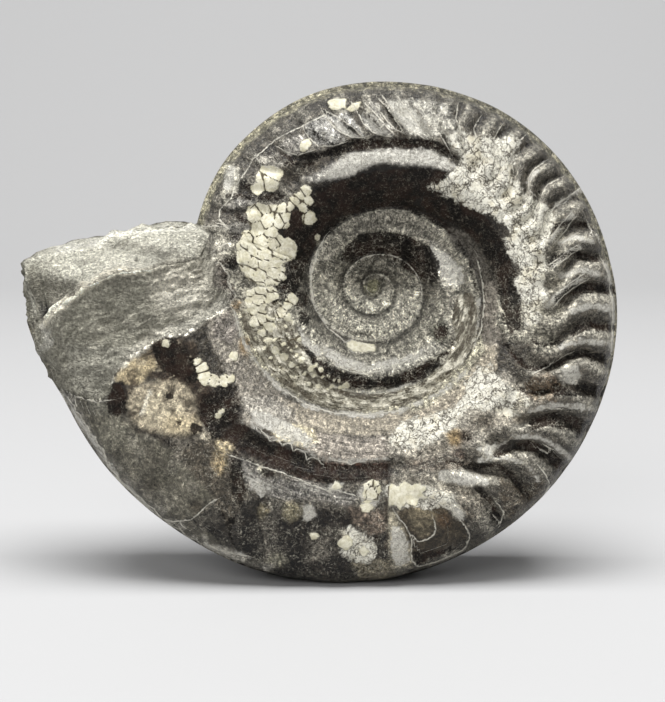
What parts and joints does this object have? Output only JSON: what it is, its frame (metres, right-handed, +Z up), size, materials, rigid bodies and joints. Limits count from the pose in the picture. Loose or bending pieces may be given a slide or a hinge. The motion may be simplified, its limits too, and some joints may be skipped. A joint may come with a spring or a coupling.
{
  "type": "hildoceras ammonite",
  "caption": "Fossil ammonite: a flat open coil with a grooved flank, sickle ribs and a low keel, its broken body chamber filled with grey limestone, standing on a small ground flat.",
  "frame": {"origin": "middle of the bounding box in X and Y, on the plane of the ground flat that the fossil stands on", "axes": "+X to the right seen from the decorated flank, with the broken body chamber at -X; +Y away from that flank, along the coil's axis; +Z up"},
  "size_m": [0.1104, 0.0276, 0.0922],
  "materials": {
    "fossil_stone": "near-black and olive-grey calcite with a soft polish, cream shell patches with fine cracks, and matt grey limestone in the broken body chamber"
  },
  "bodies": {
    "root": {"ammonite_fossil": "fossil_stone"}
  },
  "joints": []
}
